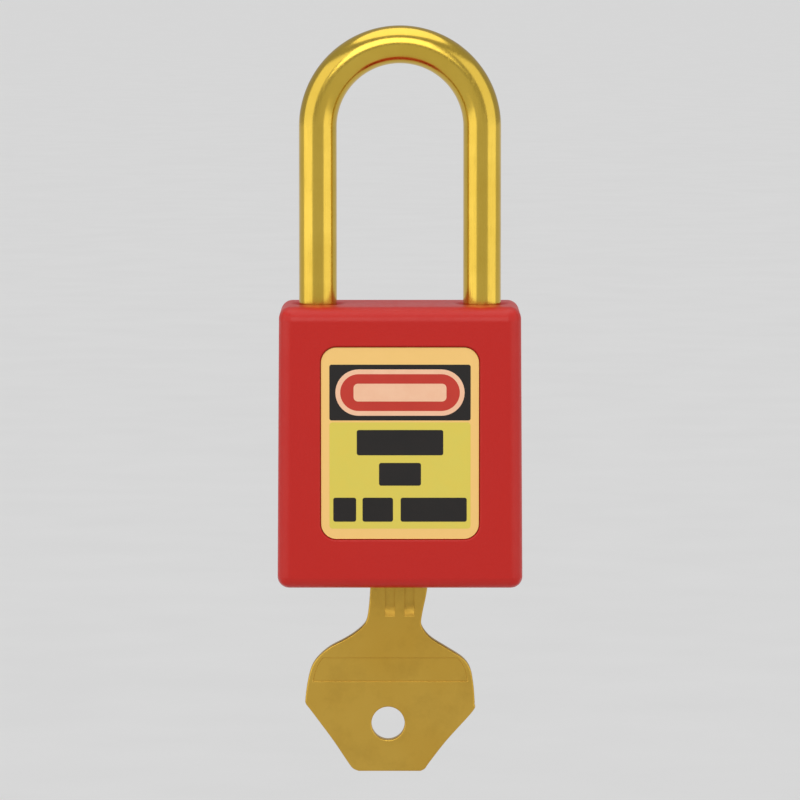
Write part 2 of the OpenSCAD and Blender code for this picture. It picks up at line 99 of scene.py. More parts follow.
# ---------------------------------------------------------------- mesh helpers
def new_piece(name, verts, faces):
    mesh = bpy.data.meshes.new(name)
    mesh.from_pydata([tuple(v) for v in verts], [], [tuple(f) for f in faces])
    mesh.validate()
    obj = bpy.data.objects.new(name, mesh)
    bpy.context.scene.collection.objects.link(obj)
    return obj


def bake_modifiers(obj):
    depsgraph = bpy.context.evaluated_depsgraph_get()
    depsgraph.update()
    mesh = bpy.data.meshes.new_from_object(obj.evaluated_get(depsgraph))
    old = obj.data
    obj.modifiers.clear()
    obj.data = mesh
    mesh.name = obj.name
    bpy.data.meshes.remove(old)
    return obj


def fix_normals(obj):
    bm = bmesh.new()
    bm.from_mesh(obj.data)
    bmesh.ops.recalc_face_normals(bm, faces=bm.faces)
    bm.to_mesh(obj.data)
    bm.free()
    return obj


def cut(obj, *cutters):
    for cutter in cutters:
        m = obj.modifiers.new("cut", "BOOLEAN")
        m.operation = "DIFFERENCE"
        m.solver = "MANIFOLD"
        m.object = cutter
        bake_modifiers(obj)
        if not obj.data.vertices:
            raise RuntimeError(f"{cutter.name} left nothing of {obj.name}")
        data = cutter.data
        bpy.data.objects.remove(cutter)
        bpy.data.meshes.remove(data)
    return obj


def smooth(obj, angle=30):
    for p in obj.data.polygons:
        p.use_smooth = True
    obj.data.set_sharp_from_angle(angle=math.radians(angle))
    m = obj.modifiers.new("normals", "WEIGHTED_NORMAL")
    m.keep_sharp = True
    m.weight = 80
    bake_modifiers(obj)
    return obj


def to_frame(obj):
    obj.data.transform(Matrix.Translation((0, 0, BASE)) @ Matrix.Scale(0.001, 4))
    return obj


def finish_piece(obj, body, material, nodes=(), angle=30):
    smooth(obj, angle)
    to_frame(obj)
    obj.data.materials.clear()
    obj.data.materials.append(material)
    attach(obj, body)
    if nodes:
        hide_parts(*nodes)
    return obj


def arc(cx, cy, r, start, end, steps):
    return [
        (
            cx + r * math.cos(math.radians(start + (end - start) * i / steps)),
            cy + r * math.sin(math.radians(start + (end - start) * i / steps)),
        )
        for i in range(steps + 1)
    ]


def circle(r, steps, cx=0.0, cy=0.0):
    return arc(cx, cy, r, 0, 360 * (steps - 1) / steps, steps - 1)


def rounded(w, h, r, steps=8, cx=0.0, cy=0.0):
    """Outline of a rounded rectangle, anticlockwise."""
    x, y = w / 2 - r, h / 2 - r
    pts = []
    for sx, sy, a in ((1, 1, 0), (-1, 1, 90), (-1, -1, 180), (1, -1, 270)):
        pts += arc(cx + sx * x, cy + sy * y, r, a, a + 90, steps)
    out = []
    for p in pts:
        if not out or math.dist(p, out[-1]) > SAME_POINT:
            out.append(p)
    if math.dist(out[0], out[-1]) < SAME_POINT:
        out.pop()
    return out


def skin(name, rings):
    """Closed solid through rings of equally many points."""
    n = len(rings[0])
    verts = [v for ring in rings for v in ring]
    faces = [list(range(n)), [(len(rings) - 1) * n + i for i in range(n)]]
    for k in range(len(rings) - 1):
        a, b = k * n, (k + 1) * n
        faces += [[a + i, a + (i + 1) % n, b + (i + 1) % n, b + i] for i in range(n)]
    return fix_normals(new_piece(name, verts, faces))


def loft(name, layers, axis="z"):
    """Closed solid through (outline, height) layers. Along y an outline is (x, z), along x it is (y, z)."""
    place = {
        "z": lambda p, t: (p[0], p[1], t),
        "y": lambda p, t: (p[0], t, p[1]),
        "x": lambda p, t: (t, p[0], p[1]),
    }[axis]
    return skin(name, [[place(p, t) for p in outline] for outline, t in layers])


def prism(name, outline, low, high, axis="z"):
    return loft(name, [(outline, low), (outline, high)], axis)


def inset(outline, distance):
    """The outline moved inwards by a distance, or outwards where it is negative."""
    n = len(outline)
    pairs = [(outline[i], outline[(i + 1) % n]) for i in range(n)]
    area = sum(p[0] * q[1] - q[0] * p[1] for p, q in pairs)
    turn = 1 if area > 0 else -1
    moved = []
    for i in range(n):
        before, here, after = (Vector(outline[k % n]) for k in (i - 1, i, i + 1))
        u, v = (here - before).normalized(), (after - here).normalized()
        inward = (Vector((-u.y, u.x)) + Vector((-v.y, v.x))) * turn
        share = max(inward.length_squared / 2, 0.5)
        moved.append(tuple(here + inward * distance / share))
    return moved


def pillow(name, outline, low, high, axis, r, steps=4):
    """Prism whose two outer edges are rounded."""
    turns = [math.radians(90 * k / steps) for k in range(steps + 1)]
    curve = [(inset(outline, r * (1 - math.sin(a))), r * (1 - math.cos(a))) for a in turns]
    layers = [(shape, low + t) for shape, t in curve]
    layers += [(shape, high - t) for shape, t in reversed(curve)]
    return loft(name, layers, axis)


def socket(name, outline, floor, mouth, axis, r, steps=4):
    """Cutter from a floor out through a face at mouth, where it leaves a rounded edge."""
    out = 1 if mouth > floor else -1
    layers = [(outline, floor)]
    for k in range(steps + 1):
        a = math.radians(90 * k / steps)
        layers.append((inset(outline, -r * (1 - math.cos(a))), mouth - out * r * (1 - math.sin(a))))
    layers.append((layers[-1][0], mouth + out * 2))
    return loft(name, layers, axis)


def lathe(name, profile, x=0.0, y=0.0, steps=64):
    """Solid turned about an upright axis from (radius, height) points, closed at both ends."""
    verts, faces, rings = [], [], []
    for r, z in profile:
        if r < SAME_POINT:
            rings.append([len(verts)] * steps)
            verts.append((x, y, z))
        else:
            rings.append(list(range(len(verts), len(verts) + steps)))
            verts += [(x + px, y + py, z) for px, py in circle(r, steps)]
    for a, b in zip(rings, rings[1:]):
        for i in range(steps):
            j = (i + 1) % steps
            quad = []
            for v in (a[i], a[j], b[j], b[i]):
                if v not in quad:
                    quad.append(v)
            if len(quad) > 2:
                faces.append(quad)
    for ring in (rings[0], rings[-1]):
        if ring[0] != ring[1]:
            faces.append(ring)
    return fix_normals(new_piece(name, verts, faces))


# ---------------------------------------------------------------- materials
def linear(r, g, b):
    """Linear colour from 0 to 255 display values."""
    def one(c):
        c /= 255
        return c / 12.92 if c <= 0.04045 else ((c + 0.055) / 1.055) ** 2.4
    return (one(r), one(g), one(b), 1.0)


class Nodes:
    """A material's node tree, with short ways to add what the finishes share."""

    def __init__(self, name):
        self.material = bpy.data.materials.new(name)
        self.material.use_nodes = True
        self.tree = self.material.node_tree
        self.shader = self.tree.nodes["Principled BSDF"]
        self.coords = self.tree.nodes.new("ShaderNodeTexCoord").outputs["Object"]

    def add(self, kind, **values):
        node = self.tree.nodes.new(kind)
        for key, value in values.items():
            setattr(node, key, value)
        return node

    def link(self, out, into):
        self.tree.links.new(out, into)

    def stretched(self, sx, sy, sz):
        node = self.add("ShaderNodeMapping")
        node.inputs["Scale"].default_value = (sx, sy, sz)
        self.link(self.coords, node.inputs["Vector"])
        return node.outputs["Vector"]

    def noise(self, scale, detail=3.0, rough=0.55, vector=None, distortion=0.0):
        node = self.add("ShaderNodeTexNoise")
        node.inputs["Scale"].default_value = scale
        node.inputs["Detail"].default_value = detail
        node.inputs["Roughness"].default_value = rough
        node.inputs["Distortion"].default_value = distortion
        self.link(vector or self.coords, node.inputs["Vector"])
        return node.outputs["Fac"]

    def ramp(self, fac, low, high, a=0.0, b=1.0):
        """Maps low..high of fac to a..b."""
        node = self.add("ShaderNodeMapRange")
        for name, value in (("From Min", low), ("From Max", high), ("To Min", a), ("To Max", b)):
            node.inputs[name].default_value = value
        self.link(fac, node.inputs["Value"])
        return node.outputs["Result"]

    def math(self, operation, a, b):
        node = self.add("ShaderNodeMath", operation=operation)
        for socket, value in zip(node.inputs, (a, b)):
            if isinstance(value, (int, float)):
                socket.default_value = value
            else:
                self.link(value, socket)
        return node.outputs[0]

    def mix(self, fac, a, b):
        node = self.add("ShaderNodeMix", data_type="RGBA")
        self.link(fac, node.inputs["Factor"])
        for name, value in (("A", a), ("B", b)):
            socket = [s for s in node.inputs if s.name == name and s.type == "RGBA"][0]
            if isinstance(value, tuple):
                socket.default_value = value
            else:
                self.link(value, socket)
        return [s for s in node.outputs if s.type == "RGBA"][0]

    def bump(self, layers):
        """Chains (height, distance in metres, strength) bumps into the shader's normal."""
        normal = None
        for fac, distance, strength in layers:
            node = self.add("ShaderNodeBump")
            node.inputs["Distance"].default_value = distance
            node.inputs["Strength"].default_value = strength
            self.link(fac, node.inputs["Height"])
            if normal is not None:
                self.link(normal, node.inputs["Normal"])
            normal = node.outputs["Normal"]
        self.link(normal, self.shader.inputs["Normal"])

    def set(self, **values):
        for name, value in values.items():
            self.shader.inputs[name.replace("_", " ")].default_value = value

    def edges(self, low, high):
        """1 on worn outer edges, 0 on flats."""
        point = self.add("ShaderNodeNewGeometry").outputs["Pointiness"]
        return self.ramp(point, low, high)


def moulded_plastic(name, colour, pale, dark, grain=2200.0, roughness=0.42, depth=0.00004):
    n = Nodes(name)
    cloud = n.noise(55, 4, 0.6)
    fleck = n.noise(900, 2, 0.5)
    body = n.mix(n.ramp(cloud, 0.3, 0.7), colour, dark)
    rubbed = n.math("MULTIPLY", n.edges(0.52, 0.6), n.ramp(n.noise(260, 4, 0.65), 0.38, 0.62))
    n.link(n.mix(n.math("MULTIPLY", rubbed, 0.55), body, pale), n.shader.inputs["Base Color"])
    gloss = n.ramp(cloud, 0.3, 0.7, roughness - 0.04, roughness + 0.06)
    gloss = n.math("ADD", gloss, n.ramp(fleck, 0.3, 0.7, -0.03, 0.03))
    n.link(gloss, n.shader.inputs["Roughness"])
    n.bump([(n.noise(140, 2, 0.5), 0.00005, 0.3), (n.noise(grain, 2, 0.5), depth, 0.8)])
    n.set(Specular_IOR_Level=0.36)
    return n.material


def plated_metal(name, colour, tint, roughness=0.17, along=(1.0, 1.0, 0.04), draw=0.3, wear=0.5):
    n = Nodes(name)
    cloud = n.noise(90, 4, 0.6)
    lines = n.noise(5200, 2, 0.5, n.stretched(*along))
    scuffs = n.ramp(n.noise(1500, 3, 0.7, n.stretched(along[0], along[1], along[2] * 4), 0.4), 0.58, 0.66)
    n.link(n.mix(n.ramp(cloud, 0.35, 0.7), colour, tint), n.shader.inputs["Base Color"])
    gloss = n.ramp(cloud, 0.3, 0.7, roughness - 0.03, roughness + 0.05)
    gloss = n.math("ADD", gloss, n.ramp(lines, 0.3, 0.7, -0.02, 0.05))
    gloss = n.math("ADD", gloss, n.math("MULTIPLY", scuffs, 0.12 * wear))
    n.link(gloss, n.shader.inputs["Roughness"])
    n.bump([(n.noise(240, 2, 0.5), 0.00003, 0.12), (lines, 0.000004, draw)])
    n.set(Metallic=1.0)
    return n.material


def tumbled_metal(name, colour, tint, patina, roughness=0.36):
    """Soft metal rolled to a sheet, then tumbled: faint clouding, fine pits and crossing scratches."""
    n = Nodes(name)
    cloud = n.noise(60, 3, 0.5)
    speck = n.noise(1900, 3, 0.6)
    drawn = n.noise(2400, 3, 0.6, n.stretched(0.06, 1, 1))
    body = n.mix(n.ramp(cloud, 0.35, 0.65), colour, tint)
    handled = n.math("MULTIPLY", n.ramp(n.noise(150, 5, 0.7), 0.48, 0.7), 0.22)
    body = n.mix(handled, body, patina)
    n.link(n.mix(n.math("MULTIPLY", n.edges(0.52, 0.6), 0.6), body, colour), n.shader.inputs["Base Color"])
    gloss = n.ramp(cloud, 0.3, 0.7, roughness - 0.05, roughness + 0.05)
    gloss = n.math("ADD", gloss, n.ramp(speck, 0.3, 0.7, -0.05, 0.06))
    n.link(gloss, n.shader.inputs["Roughness"])
    nicks = n.ramp(n.noise(700, 2, 0.6, n.stretched(1.6, 1, 0.12), 0.6), 0.66, 0.72)
    n.bump([
        (speck, 0.00001, 0.3), (drawn, 0.000008, 0.35), (nicks, 0.00001, 0.3),
        (n.noise(300, 3, 0.6), 0.00002, 0.15),
    ])
    n.set(Metallic=1.0)
    return n.material


def turned_metal(name, colour, tint, roughness=0.28, scale=5200.0):
    """Rings left by a lathe about the upright axis through the plug."""
    n = Nodes(name)
    wave = n.add("ShaderNodeTexWave", wave_type="RINGS", rings_direction="Z", wave_profile="SIN")
    wave.inputs["Scale"].default_value = scale / 20
    wave.inputs["Distortion"].default_value = 0.6
    wave.inputs["Detail"].default_value = 2.0
    n.link(n.coords, wave.inputs["Vector"])
    cloud = n.noise(160, 4, 0.6)
    n.link(n.mix(n.ramp(cloud, 0.3, 0.7), colour, tint), n.shader.inputs["Base Color"])
    n.link(n.ramp(cloud, 0.3, 0.7, roughness - 0.05, roughness + 0.08), n.shader.inputs["Roughness"])
    n.bump([(wave.outputs["Fac"], 0.00001, 0.35), (n.noise(1400, 2, 0.5), 0.000006, 0.2)])
    n.set(Metallic=1.0)
    return n.material


def cast_metal(name, colour, tint, roughness=0.5):
    n = Nodes(name)
    cloud = n.noise(110, 4, 0.6)
    skin = n.noise(1100, 4, 0.65)
    n.link(n.mix(n.ramp(cloud, 0.3, 0.7), colour, tint), n.shader.inputs["Base Color"])
    n.link(n.ramp(skin, 0.3, 0.7, roughness - 0.08, roughness + 0.1), n.shader.inputs["Roughness"])
    n.bump([(skin, 0.00002, 0.4)])
    n.set(Metallic=1.0)
    return n.material


def printed(name, colour, tint, roughness=0.36, fade=0.35):
    """Printed film: even ink with slight mottling and a fine orange-peel gloss."""
    n = Nodes(name)
    mottle = n.noise(420, 4, 0.65)
    cloud = n.noise(70, 3, 0.5)
    body = n.mix(n.math("MULTIPLY", n.ramp(mottle, 0.35, 0.7), fade), colour, tint)
    n.link(body, n.shader.inputs["Base Color"])
    n.link(n.ramp(cloud, 0.3, 0.7, roughness - 0.05, roughness + 0.07), n.shader.inputs["Roughness"])
    n.bump([(n.noise(1300, 2, 0.5), 0.000008, 0.3)])
    n.set(Specular_IOR_Level=0.45)
    return n.material


RED = moulded_plastic(
    "case_red", linear(191, 26, 14), linear(216, 78, 60), linear(190, 24, 15), roughness=0.38
)
BLACK_PLASTIC = moulded_plastic(
    "cover_black", linear(38, 38, 40), linear(92, 92, 94), linear(31, 31, 33), roughness=0.5
)
# The shackle is plated steel. Its gold base colour is a painted reflection of yellow surroundings, not the
# metal's own colour.
SHACKLE_PAINTED_YELLOW_REFLECTION = plated_metal("shackle_painted_yellow_reflection", linear(216, 183, 76), linear(207, 173, 66))
KEY_BRASS = tumbled_metal("key_brass", linear(214, 174, 76), linear(205, 163, 66), linear(160, 122, 46))
PLUG_BRASS = turned_metal("plug_brass", linear(214, 184, 110), linear(200, 168, 94))
BARREL_BRASS = turned_metal("barrel_brass", linear(206, 172, 96), linear(188, 152, 80), 0.34)
ZINC = cast_metal("frame_zinc", linear(178, 180, 184), linear(160, 162, 166))
SINTERED = cast_metal("pawl_steel", linear(168, 169, 172), linear(150, 151, 155), 0.4)
GROUND = plated_metal("pin_steel", linear(200, 201, 204), linear(186, 187, 190), 0.22, (1.0, 0.05, 1.0))
WIRE = plated_metal("spring_wire", linear(196, 197, 200), linear(178, 180, 184), 0.25, (1.0, 1.0, 1.0))
RIVET = plated_metal("rivet_steel", linear(206, 207, 210), linear(192, 193, 196), 0.26, (1.0, 1.0, 1.0))
LABEL_PALE = printed("label_pale", linear(246, 200, 119), linear(242, 197, 114))
LABEL_YELLOW = printed("label_yellow", linear(221, 203, 84), linear(229, 201, 76))
LABEL_BLACK = printed("label_black", linear(16, 11, 8), linear(30, 20, 14))
LABEL_RED = printed("label_red", linear(196, 52, 36), linear(182, 42, 30))
LABEL_LIGHT = printed("label_light", linear(246, 196, 160), linear(238, 176, 138))


# ---------------------------------------------------------------- case
LEG_GAP = 0.2
MOUTH_R = 1.5
# radii of the case's edges: along the front and back of the top, upright, at the top's ends, round the foot
BROW_R, UPRIGHT_R, END_R, FOOT_R = 2.4, 2.2, 1.9, 1.8
RECESS_DEPTH = 0.6
RECESS_GAP = 0.1
LABEL_R = 2.4
# label: how far its face lies behind the case's, its thickness, the ink's root and the rise of each ink layer
LABEL_SUNK, LABEL_T, INK_ROOT, INK_STEP = 0.16, 0.4, 0.05, 0.012


def leg_hole(x):
    r, rim = BAR_R + LEG_GAP, CASE_H - MOUTH_R
    flare = [(r, WALL), (r, rim)]
    flare += [(r + MOUTH_R - px, rim + py) for px, py in arc(0, 0, MOUTH_R, 0, 90, 6)]
    flare += [(r + MOUTH_R, CASE_H + 2)]
    return lathe("leg_hole", flare, x, 0, 96)


def case_piece():
    w0, w1, d = CASE_W / 2, CASE_TOP_W / 2, CASE_D / 2
    corners = ((-1, -1), (1, -1), (1, 1), (-1, 1))
    verts = [(sx * w, sy * d, z) for z, w in ((0, w0), (CASE_H, w1)) for sx, sy in corners]
    faces = [(0, 3, 2, 1), (4, 5, 6, 7), (0, 1, 5, 4), (1, 2, 6, 5), (2, 3, 7, 6), (3, 0, 4, 7)]
    obj = new_piece("case_body", verts, faces)
    weights = obj.data.attributes.new("bevel_weight_edge", "FLOAT", "EDGE")
    for e in obj.data.edges:
        a, b = (obj.data.vertices[i].co for i in e.vertices)
        if abs(a.z - b.z) > 1:
            r = UPRIGHT_R
        elif a.z > 1:
            r = BROW_R if abs(a.x - b.x) > 1 else END_R
        else:
            r = FOOT_R
        weights.data[e.index].value = r / BROW_R
    m = obj.modifiers.new("corners", "BEVEL")
    m.width = BROW_R
    m.segments = 10
    m.limit_method = "WEIGHT"
    bake_modifiers(obj)
    opening = rounded(CASE_TOP_W - 2 * WALL, CASE_D - 2 * WALL, 0.4, 4)
    inner = socket("cavity", opening, CASE_H - WALL, 0, "z", 0.3)
    cut(obj, inner, leg_hole(-LEG_X), leg_hole(LEG_X))
    lw = mm(label_high.x - label_low.x) + 2 * RECESS_GAP
    lh = mm(label_high.z - label_low.z) + 2 * RECESS_GAP
    lz = height((label_high.z + label_low.z) / 2)
    outline = rounded(lw, lh, LABEL_R + RECESS_GAP, 12, 0, lz)
    cut(
        obj,
        socket("front_recess", outline, -CASE_D / 2 + RECESS_DEPTH, -CASE_D / 2, "y", 0.35),
        socket("back_recess", outline, CASE_D / 2 - RECESS_DEPTH, CASE_D / 2, "y", 0.35),
    )
    return finish_piece(obj, "case", RED, ["case_shell"])


# ---------------------------------------------------------------- labels
def label_pieces(side, node, name):
    """side is -1 at the front and 1 at the back."""
    w, h = mm(label_high.x - label_low.x), mm(label_high.z - label_low.z)
    cz = height((label_high.z + label_low.z) / 2)
    top = cz + h / 2
    face = CASE_D / 2 - LABEL_SUNK
    base = pillow(name, rounded(w, h, LABEL_R, 10, 0, cz), side * (face - LABEL_T), side * face, "y", 0.1)
    finish_piece(base, "case", LABEL_PALE, [node])

    def ink(part, x, drop, width, tall, r, layer, material):
        """Printed shape whose top is drop below the label's top."""
        outline = rounded(width, tall, r, 10, side * -x, top - drop - tall / 2)
        root, top_face = side * (face - INK_ROOT), side * (face + INK_STEP * layer)
        piece = prism(f"{name}_{part}", outline, root, top_face, "y")
        finish_piece(piece, "case", material)

    ink("field", 0, 11.8, 22.2, 16.8, 0.5, 1, LABEL_YELLOW)
    ink("header", 0, 2.7, 22.2, 8.8, 0.35, 1, LABEL_BLACK)
    ink("ring", 0, 3.45, 20.3, 7.3, 3.64, 2, LABEL_LIGHT)
    ink("oval", 0, 4.2, 18.8, 5.8, 2.89, 3, LABEL_RED)
    ink("bar_top", 0, 5.7, 14.6, 2.8, 0.7, 4, LABEL_LIGHT)
    ink("bar_1", 0, 13.0, 13.6, 4.0, 0.35, 2, LABEL_BLACK)
    ink("bar_2", 0, 18.2, 6.6, 3.6, 0.35, 2, LABEL_BLACK)
    ink("bar_3", -8.7, 23.7, 3.6, 3.8, 0.35, 2, LABEL_BLACK)
    ink("bar_4", -3.5, 23.7, 4.8, 3.8, 0.35, 2, LABEL_BLACK)
    ink("bar_5", 5.3, 23.7, 10.4, 3.8, 0.35, 2, LABEL_BLACK)


# ---------------------------------------------------------------- shackle
NOTCH = 1.4
PAWL_Z, PAWL_T = 37.3, 3.0
NOTCH_GAP = 0.2
TRAVEL, LIFT = 4.3, 10.0
TOE_DEPTH = 9.5
# heel, from its end up past the groove that runs along the heel pin: height, radius
HEEL = [
    (HEEL_Z, BAR_R - 0.5), (HEEL_Z + 0.12, BAR_R - 0.22), (HEEL_Z + 0.5, BAR_R), (13.1, BAR_R),
    (13.42, BAR_R - 0.12), (13.5, 2.3), (13.6, 2.2), (26.6, 2.2), (26.75, 2.32), (26.8, BAR_R - 0.1),
    (27.0, BAR_R),
]
# toe, down to its end: height above the end, radius
TOE = [(0.8, BAR_R), (0.62, BAR_R - 0.06), (0.12, BAR_R - 0.62), (0.0, BAR_R - 0.8)]
LEG_STEPS = 10
CROWN_STEPS = 96
BAR_SIDES = 72


def notch(side):
    inner, floor = LEG_X - BAR_R, LEG_X - BAR_R + NOTCH
    low, high = PAWL_Z - NOTCH_GAP, PAWL_Z + PAWL_T + NOTCH_GAP
    slope = TRAVEL / LIFT
    outline = [
        (inner - 1, low - (NOTCH + 1) / slope), (floor, low), (floor, high), (inner - 1, high + NOTCH + 1)
    ]
    return prism("notch", [(side * x, z) for x, z in outline], -BAR_R - 1, BAR_R + 1, "y")


def shackle_piece():
    toe = CASE_H - TOE_DEPTH
    heel_top, toe_top = HEEL[-1][0], toe + TOE[0][0]
    # x, height, heading of the bar, radius
    path = [(-LEG_X, z, 90, r) for z, r in HEEL]
    for i in range(1, LEG_STEPS):
        path.append((-LEG_X, heel_top + (BOW_Z - heel_top) * i / LEG_STEPS, 90, BAR_R))
    for i in range(CROWN_STEPS + 1):
        a = 180 - 180 * i / CROWN_STEPS
        x, rise = LEG_X * math.cos(math.radians(a)), LEG_X * math.sin(math.radians(a))
        path.append((x, BOW_Z + rise, a - 90, BAR_R))
    for i in range(1, LEG_STEPS):
        path.append((LEG_X, BOW_Z + (toe_top - BOW_Z) * i / LEG_STEPS, -90, BAR_R))
    path += [(LEG_X, toe + drop, -90, r) for drop, r in TOE]
    rings = []
    for x, z, heading, r in path:
        a = math.radians(heading)
        side = Vector((-math.sin(a), 0, math.cos(a)))
        ring = [Vector((x, 0, z)) + side * px + Vector((0, 1, 0)) * py for px, py in circle(r, BAR_SIDES)]
        rings.append(ring)
    obj = skin("shackle_bar", rings)
    cut(obj, notch(-1), notch(1))
    return finish_piece(obj, "shackle", SHACKLE_PAINTED_YELLOW_REFLECTION, ["shackle"], angle=28)


# ---------------------------------------------------------------- key
# depth below the case, reach to the left, reach to the right
BOW = [
    (-0.7, 4.7, 4.5), (1, 4.75, 4.35), (2.7, 4.85, 4.05), (4.3, 5, 3.7), (6, 5.3, 3.4),
    (7, 5.9, 3.45), (8.2, 7.3, 4.2), (9.2, 8.9, 5.3), (10.5, 11.3, 7.4), (12.2, 13.2, 10),
    (13.9, 14.2, 11.2), (16.4, 14.8, 11.7), (18.8, 15.1, 11.9), (19.6, 15, 11.9), (20.8, 14.1, 11.6),
    (25.4, 10.7, 7.5), (29, 8.3, 4.7), (30, 7.5, 4), (30.4, 6.6, 3.3),
]
CUTS = [3.2, 2.8, 2.4, 2.0, 1.6, 1.2]
GROOVES_FRONT = (-1.6, 1.5)
GROOVE_BACK = -0.05
# grooves: width, depth, radius of the milling wheel, height where they end, height where the cutters begin
GROOVE_W, GROOVE_DEPTH, WHEEL_R, GROOVE_END, ABOVE_TIP = 1.6, 0.55, 6.0, -5.6, 30
RING_X, RING_Z, RING_R = -1.9, -22.7, 2.65
ROW_STEPS = 5
SHOULDER = 0.7
FIRST_PIN, PIN_PITCH = 6.5, 3.4
KEY_EDGE = 0.28
# blank band on the bow: its two depths below the case, margin at its ends, depth of the cut
BAND, BAND_MARGIN, BAND_CUT = (12.1, 16.0), 0.9, 0.2


def bow_row(s):
    last = len(BOW) - 1
    i = min(int(s), last - 1)
    t = s - i
    a, b, c, d = (BOW[min(max(k, 0), last)] for k in (i - 1, i, i + 1, i + 2))
    return [
        0.5 * (2 * q + (r - p) * t + (2 * p - 5 * q + 4 * r - u) * t * t + (3 * q - p - 3 * r + u) * t ** 3)
        for p, q, r, u in zip(a, b, c, d)
    ]


def groove(name, x, side):
    """Cutter that runs along the blade and fades out in the neck, as a milling wheel leaves it."""
    face = side * KEY_T / 2
    lift = math.acos(1 - GROOVE_DEPTH / WHEEL_R)
    start = GROOVE_END + WHEEL_R * math.sin(lift)
    floor = face - side * GROOVE_DEPTH
    profile = [(face + side * 2, ABOVE_TIP), (floor, ABOVE_TIP), (floor, start)]
    for i in range(1, 13):
        a = i / 12 * lift
        profile.append((floor + side * WHEEL_R * (1 - math.cos(a)), start - WHEEL_R * math.sin(a)))
    profile.append((face + side * 2, profile[-1][1]))
    return prism(name, profile, x - GROOVE_W / 2, x + GROOVE_W / 2, "x")


def key_outline(rows):
    """Bow and neck from the rows, then the blade with its steps."""
    tip = height(key_high.z)
    outline = [(r[2], -r[0]) for r in rows] + [(-r[1], -r[0]) for r in reversed(rows)]
    outline += [(-4, SHOULDER), (-4, tip - 1.8), (-3.7, tip - 1.1), (-3.1, tip - 0.4)]
    outline += [(-2.2, tip), (-0.6, tip)]
    for i in reversed(range(len(CUTS))):
        z = FIRST_PIN + i * PIN_PITCH
        outline += [(CUTS[i], z + 1.9), (CUTS[i], z - 1)]
    return outline + [(3.9, 4.3), (3.9, SHOULDER)]


def key_piece():
    rows = [bow_row(i / ROW_STEPS) for i in range((len(BOW) - 1) * ROW_STEPS + 1)]
    obj = pillow("key_body", key_outline(rows), -KEY_T / 2, KEY_T / 2, "y", KEY_EDGE)
    hole = circle(RING_R, 72, RING_X, RING_Z)
    cutters = [
        socket(f"ring_hole_{side}", hole, -side * 0.2, side * KEY_T / 2, "y", 0.25) for side in (-1, 1)
    ]
    cutters.append(groove("groove_b", GROOVE_BACK, 1))
    cutters += [groove(f"groove_{i}", x, -1) for i, x in enumerate(GROOVES_FRONT)]
    band = [r for r in rows if BAND[0] <= r[0] <= BAND[1]]
    panel = [(r[2] - BAND_MARGIN, -r[0]) for r in band]
    panel += [(BAND_MARGIN - r[1], -r[0]) for r in reversed(band)]
    for side in (-1, 1):
        face = side * KEY_T / 2
        cutters.append(socket(f"band_{side}", panel, face - side * BAND_CUT, face, "y", 0.15))
    cut(obj, *cutters)
    return finish_piece(obj, "key", KEY_BRASS, ["key"])


# ---------------------------------------------------------------- cover, rivets
COVER_T = 2.5
DRAIN_X, DRAIN_W, DRAIN_L, DRAIN_R = 9.4, 1.4, 6.0, 0.69
RIVETS = [(x, y) for x in (-14.0, 14.0) for y in (-5.3, 5.3)]
# half of a rivet, from the middle of its head up its shank: radius, height
RIVET_SHAPE = [
    (0, 0.0), (0.5, 0.01), (0.9, 0.05), (1.2, 0.13), (1.4, 0.26), (1.48, 0.42), (1.5, 0.6), (0.9, 0.6),
    (0.9, 7.8), (0.7, 8.0), (0, 8.0),
]


def cover_piece():
    w, d = mm(cover_high.x - cover_low.x), mm(cover_high.y - cover_low.y)
    obj = pillow("cover_plate", rounded(w, d, 0.5, 4), 0, COVER_T, "z", 0.3)
    well = lathe("well", [(7.0, -1), (6.55, 0), (5.9, 0.55), (5.85, 0.7), (5.85, 4)], steps=96)
    cutters = [well]
    for side in (-1, 1):
        cutters.append(prism("drain", rounded(DRAIN_W, DRAIN_L, DRAIN_R, 10, side * DRAIN_X, 0), -1, 4))
    for x, y in RIVETS:
        cutters.append(lathe("seat", [(1.6, -1), (1.6, 0.62), (0.92, 0.63), (0.92, 4)], x, y, 48))
    cut(obj, *cutters)
    return finish_piece(obj, "case", BLACK_PLASTIC, ["bottom_cover"])


def rivet_pieces():
    for i, (x, y) in enumerate(RIVETS):
        obj = lathe(f"rivet_{i + 1}", RIVET_SHAPE, x, y, 48)
        finish_piece(obj, "case", RIVET, ["cover_rivets"], angle=50)


# ---------------------------------------------------------------- springs
def climb(turn, turns, length, wire_d):
    """How far the wire has climbed after some turns. The first and last turns lie closed."""
    pitch = (length - 3 * wire_d) / (turns - 2)
    return wire_d * (min(turn, 1) + max(turn - turns + 1, 0)) + pitch * min(max(turn - 1, 0), turns - 2)


def spring_piece(node, across, along, wire_r, turns, steps=28, sides=10):
    """Coil in its CAD spring's place, between the two bodies that it pushes apart."""
    low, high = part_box(node)
    low, high = (Vector((mm(v.x), mm(v.y), height(v.z))) for v in (low, high))
    axis = Vector([float(i == along) for i in range(3)])
    out = Vector([float(i == across) for i in range(3)])
    side = axis.cross(out)
    centre = (low + high) / 2
    start = centre - axis * (high[along] - low[along]) / 2
    length = high[along] - low[along]
    r = (high[across] - low[across]) / 2 - wire_r
    rings = []
    for i in range(turns * steps + 1):
        turn = i / steps
        a = math.radians(360 * turn)
        ray = out * math.cos(a) + side * math.sin(a)
        middle_of_wire = start + ray * r + axis * (wire_r + climb(turn, turns, length, 2 * wire_r))
        rings.append([middle_of_wire + ray * px + axis * py for px, py in circle(wire_r, sides)])
    obj = to_frame(smooth(skin(f"{node}_coil", rings), 50))
    obj.data.materials.append(WIRE)
    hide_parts(node)
    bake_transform(obj)
    return obj


